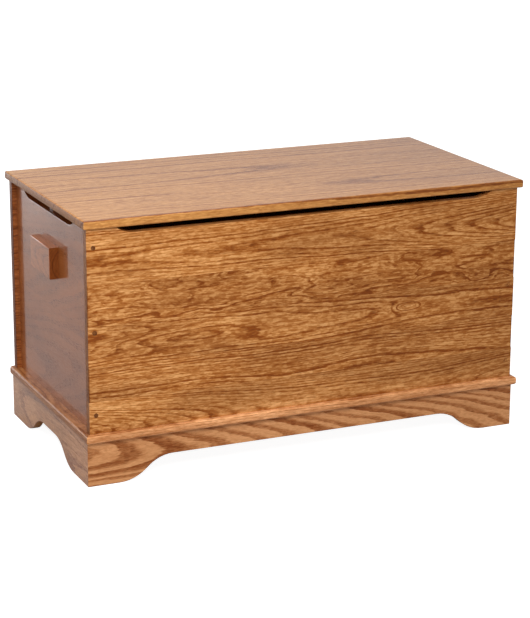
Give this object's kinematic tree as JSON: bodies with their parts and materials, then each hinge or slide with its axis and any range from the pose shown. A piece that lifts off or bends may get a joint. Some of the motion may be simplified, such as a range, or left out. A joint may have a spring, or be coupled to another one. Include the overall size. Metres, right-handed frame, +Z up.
{
  "type": "wooden toy box",
  "caption": "Lidded oak toy box: glued-board case with inset ends, block handles, finger gaps under the lid, rounded cap rail and a bracket base with ogee feet.",
  "frame": {"origin": "on the floor, under the centre of the whole box", "axes": "+X along the length to the box's right, +Y from front to back, +Z up"},
  "size_m": [1.072, 0.5606, 0.597],
  "materials": {
    "lid_oak": "satin varnish, light oak",
    "panel_oak": "gloss varnish, golden oak stain",
    "base_oak": "gloss varnish, golden oak stain",
    "handle_oak": "gloss varnish, golden oak stain",
    "plug_wood": "varnished end grain",
    "inner_wood": "bare planed wood",
    "plywood": "sanded plywood, thin varnish",
    "hinge_brass": "satin brass",
    "stay_steel": "zinc-plated steel"
  },
  "bodies": {
    "case": {"apron_back": "base_oak", "apron_front": "base_oak", "apron_left": "base_oak", "apron_right": "base_oak", "back_board_1": "panel_oak", "back_board_2": "panel_oak", "back_board_3": "panel_oak", "cap_rail_back": "base_oak", "cap_rail_front": "base_oak", "cap_rail_left": "base_oak", "cap_rail_right": "base_oak", "corner_block_back_left": "inner_wood", "corner_block_back_right": "inner_wood", "corner_block_front_left": "inner_wood", "corner_block_front_right": "inner_wood", "end_board_left_1": "panel_oak", "end_board_left_2": "panel_oak", "end_board_right_1": "panel_oak", "end_board_right_2": "panel_oak", "floor_cleat_back": "inner_wood", "floor_cleat_front": "inner_wood", "floor_cleat_left": "inner_wood", "floor_cleat_right": "inner_wood", "floor_panel": "plywood", "front_board_1": "panel_oak", "front_board_2": "panel_oak", "front_board_3": "panel_oak", "front_board_4": "panel_oak", "front_board_5": "panel_oak", "handle_left": "handle_oak", "handle_right": "handle_oak", "hinge_left_body_leaf": "hinge_brass", "hinge_left_pin": "hinge_brass", "hinge_right_body_leaf": "hinge_brass", "hinge_right_pin": "hinge_brass", "plug_left_bottom": "plug_wood", "plug_left_middle": "plug_wood", "plug_left_top": "plug_wood", "plug_right_bottom": "plug_wood", "plug_right_middle": "plug_wood", "plug_right_top": "plug_wood", "stay_left_wall_bracket": "stay_steel", "stay_right_wall_bracket": "stay_steel"},
    "lid": {"hinge_left_lid_leaf": "hinge_brass", "hinge_right_lid_leaf": "hinge_brass", "lid_batten_left": "inner_wood", "lid_batten_right": "inner_wood", "lid_board_1": "lid_oak", "lid_board_2": "lid_oak", "lid_board_3": "lid_oak", "lid_board_4": "lid_oak", "lid_board_5": "lid_oak", "stay_left_lid_bracket": "stay_steel", "stay_right_lid_bracket": "stay_steel"},
    "stay_left_lower": {"stay_left_lower_arm": "stay_steel"},
    "stay_left_upper": {"stay_left_upper_arm": "stay_steel", "stay_left_elbow_rivet": "stay_steel"},
    "stay_right_lower": {"stay_right_lower_arm": "stay_steel"},
    "stay_right_upper": {"stay_right_upper_arm": "stay_steel", "stay_right_elbow_rivet": "stay_steel"}
  },
  "joints": [
    {"name": "lid_hinge", "type": "hinge", "parent": "case", "child": "lid", "pos_m": [0, 0.27625, 0.577], "axis": [-1, 0, 0], "range_deg": [0, 95]},
    {"name": "stay_left_lower_pivot", "type": "hinge", "parent": "case", "child": "stay_left_lower", "pos_m": [-0.48875, 0.22825, 0.422], "axis": [-1, 0, 0], "range_deg": [0, 95]},
    {"name": "stay_left_upper_pivot", "type": "hinge", "parent": "lid", "child": "stay_left_upper", "pos_m": [-0.48545, 0.07625, 0.566], "axis": [-1, 0, 0], "range_deg": [-95, 0]},
    {"name": "stay_right_lower_pivot", "type": "hinge", "parent": "case", "child": "stay_right_lower", "pos_m": [0.48875, 0.22825, 0.422], "axis": [-1, 0, 0], "range_deg": [0, 95]},
    {"name": "stay_right_upper_pivot", "type": "hinge", "parent": "lid", "child": "stay_right_upper", "pos_m": [0.48545, 0.07625, 0.566], "axis": [-1, 0, 0], "range_deg": [-95, 0]}
  ],
  "couplings": [
    {"joint": "stay_left_lower_pivot", "follows": "lid_hinge", "ratio": 1},
    {"joint": "stay_left_upper_pivot", "follows": "lid_hinge", "ratio": -1},
    {"joint": "stay_right_lower_pivot", "follows": "lid_hinge", "ratio": 1},
    {"joint": "stay_right_upper_pivot", "follows": "lid_hinge", "ratio": -1}
  ]
}
